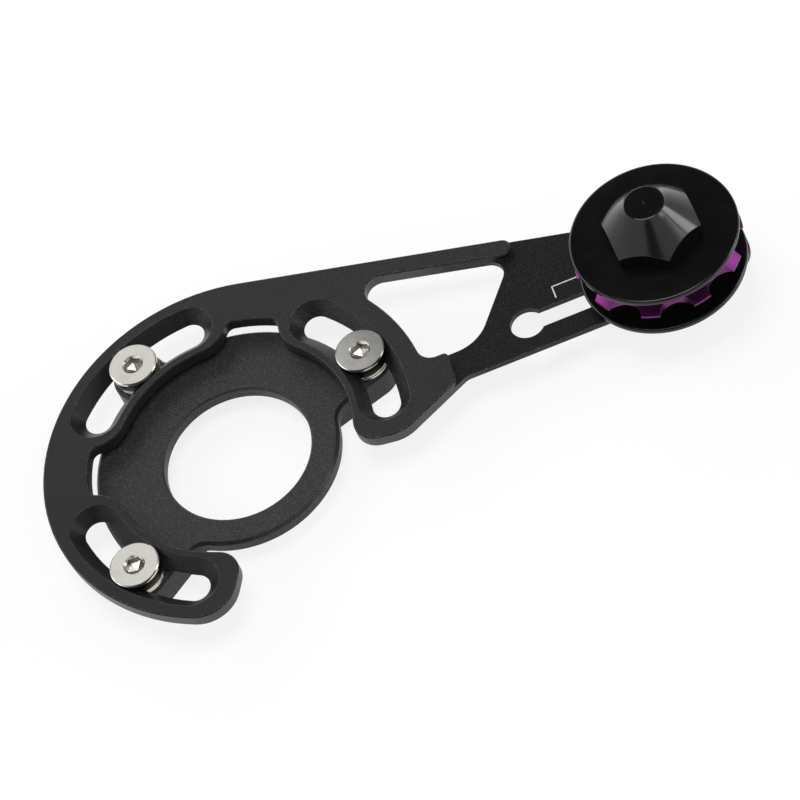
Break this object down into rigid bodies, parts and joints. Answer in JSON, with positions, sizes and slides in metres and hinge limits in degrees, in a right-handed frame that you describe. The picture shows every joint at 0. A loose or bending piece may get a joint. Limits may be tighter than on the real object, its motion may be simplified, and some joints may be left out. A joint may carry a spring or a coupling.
{
  "type": "bicycle chain guide",
  "caption": "Slotted black plate clamped to a bottom-bracket ring; its long arm carries a purple toothed pulley between guide discs, which keeps a bicycle chain on its sprocket.",
  "frame": {"origin": "on the bottom bracket axis, at the mounting ring's back face", "axes": "+Z along the bottom bracket axis, away from the bicycle; +X along the arm, parallel to its slot"},
  "size_m": [0.1701, 0.0868, 0.034],
  "materials": {
    "blasted_black": "bead-blasted, black anodised",
    "gloss_black": "turned and polished, gloss black anodised",
    "purple_anodised": "purple anodised",
    "stainless_steel": "turned stainless steel",
    "cage_plastic": "moulded nylon"
  },
  "bodies": {
    "mount": {"mounting_ring": "blasted_black", "clamp_screw_right": "stainless_steel", "clamp_screw_upper": "stainless_steel", "clamp_screw_lower": "stainless_steel", "shim_washer_right_1": "stainless_steel", "shim_washer_right_2": "stainless_steel", "shim_washer_upper_1": "stainless_steel", "shim_washer_upper_2": "stainless_steel", "shim_washer_lower_1": "stainless_steel", "shim_washer_lower_2": "stainless_steel"},
    "plate": {"guide_plate": "blasted_black"},
    "carriage": {"axle_bolt": "stainless_steel", "arm_collar": "gloss_black", "inner_guide_disc": "gloss_black", "inner_spacer": "gloss_black", "bearing_inner_race": "stainless_steel", "outer_spacer": "gloss_black", "outer_guide_disc": "gloss_black"},
    "wheel": {"toothed_wheel": "purple_anodised", "bearing_outer_race": "stainless_steel", "bearing_balls": "stainless_steel", "bearing_cage": "cage_plastic", "bearing_shield_inner": "stainless_steel", "bearing_shield_outer": "stainless_steel"}
  },
  "joints": [
    {"name": "plate_swing", "type": "hinge", "parent": "mount", "child": "plate", "pos_m": [0, 0, 0], "axis": [0, 0, 1], "range_deg": [-24, 24]},
    {"name": "pulley_slide", "type": "slide", "parent": "plate", "child": "carriage", "axis": [1, 0, 0], "range_m": [-0.0275, 0.0078]},
    {"name": "wheel_spin", "type": "hinge", "parent": "carriage", "child": "wheel", "pos_m": [0.1055, 0.00195, 0.0137], "axis": [0, 0, 1], "continuous": true}
  ]
}
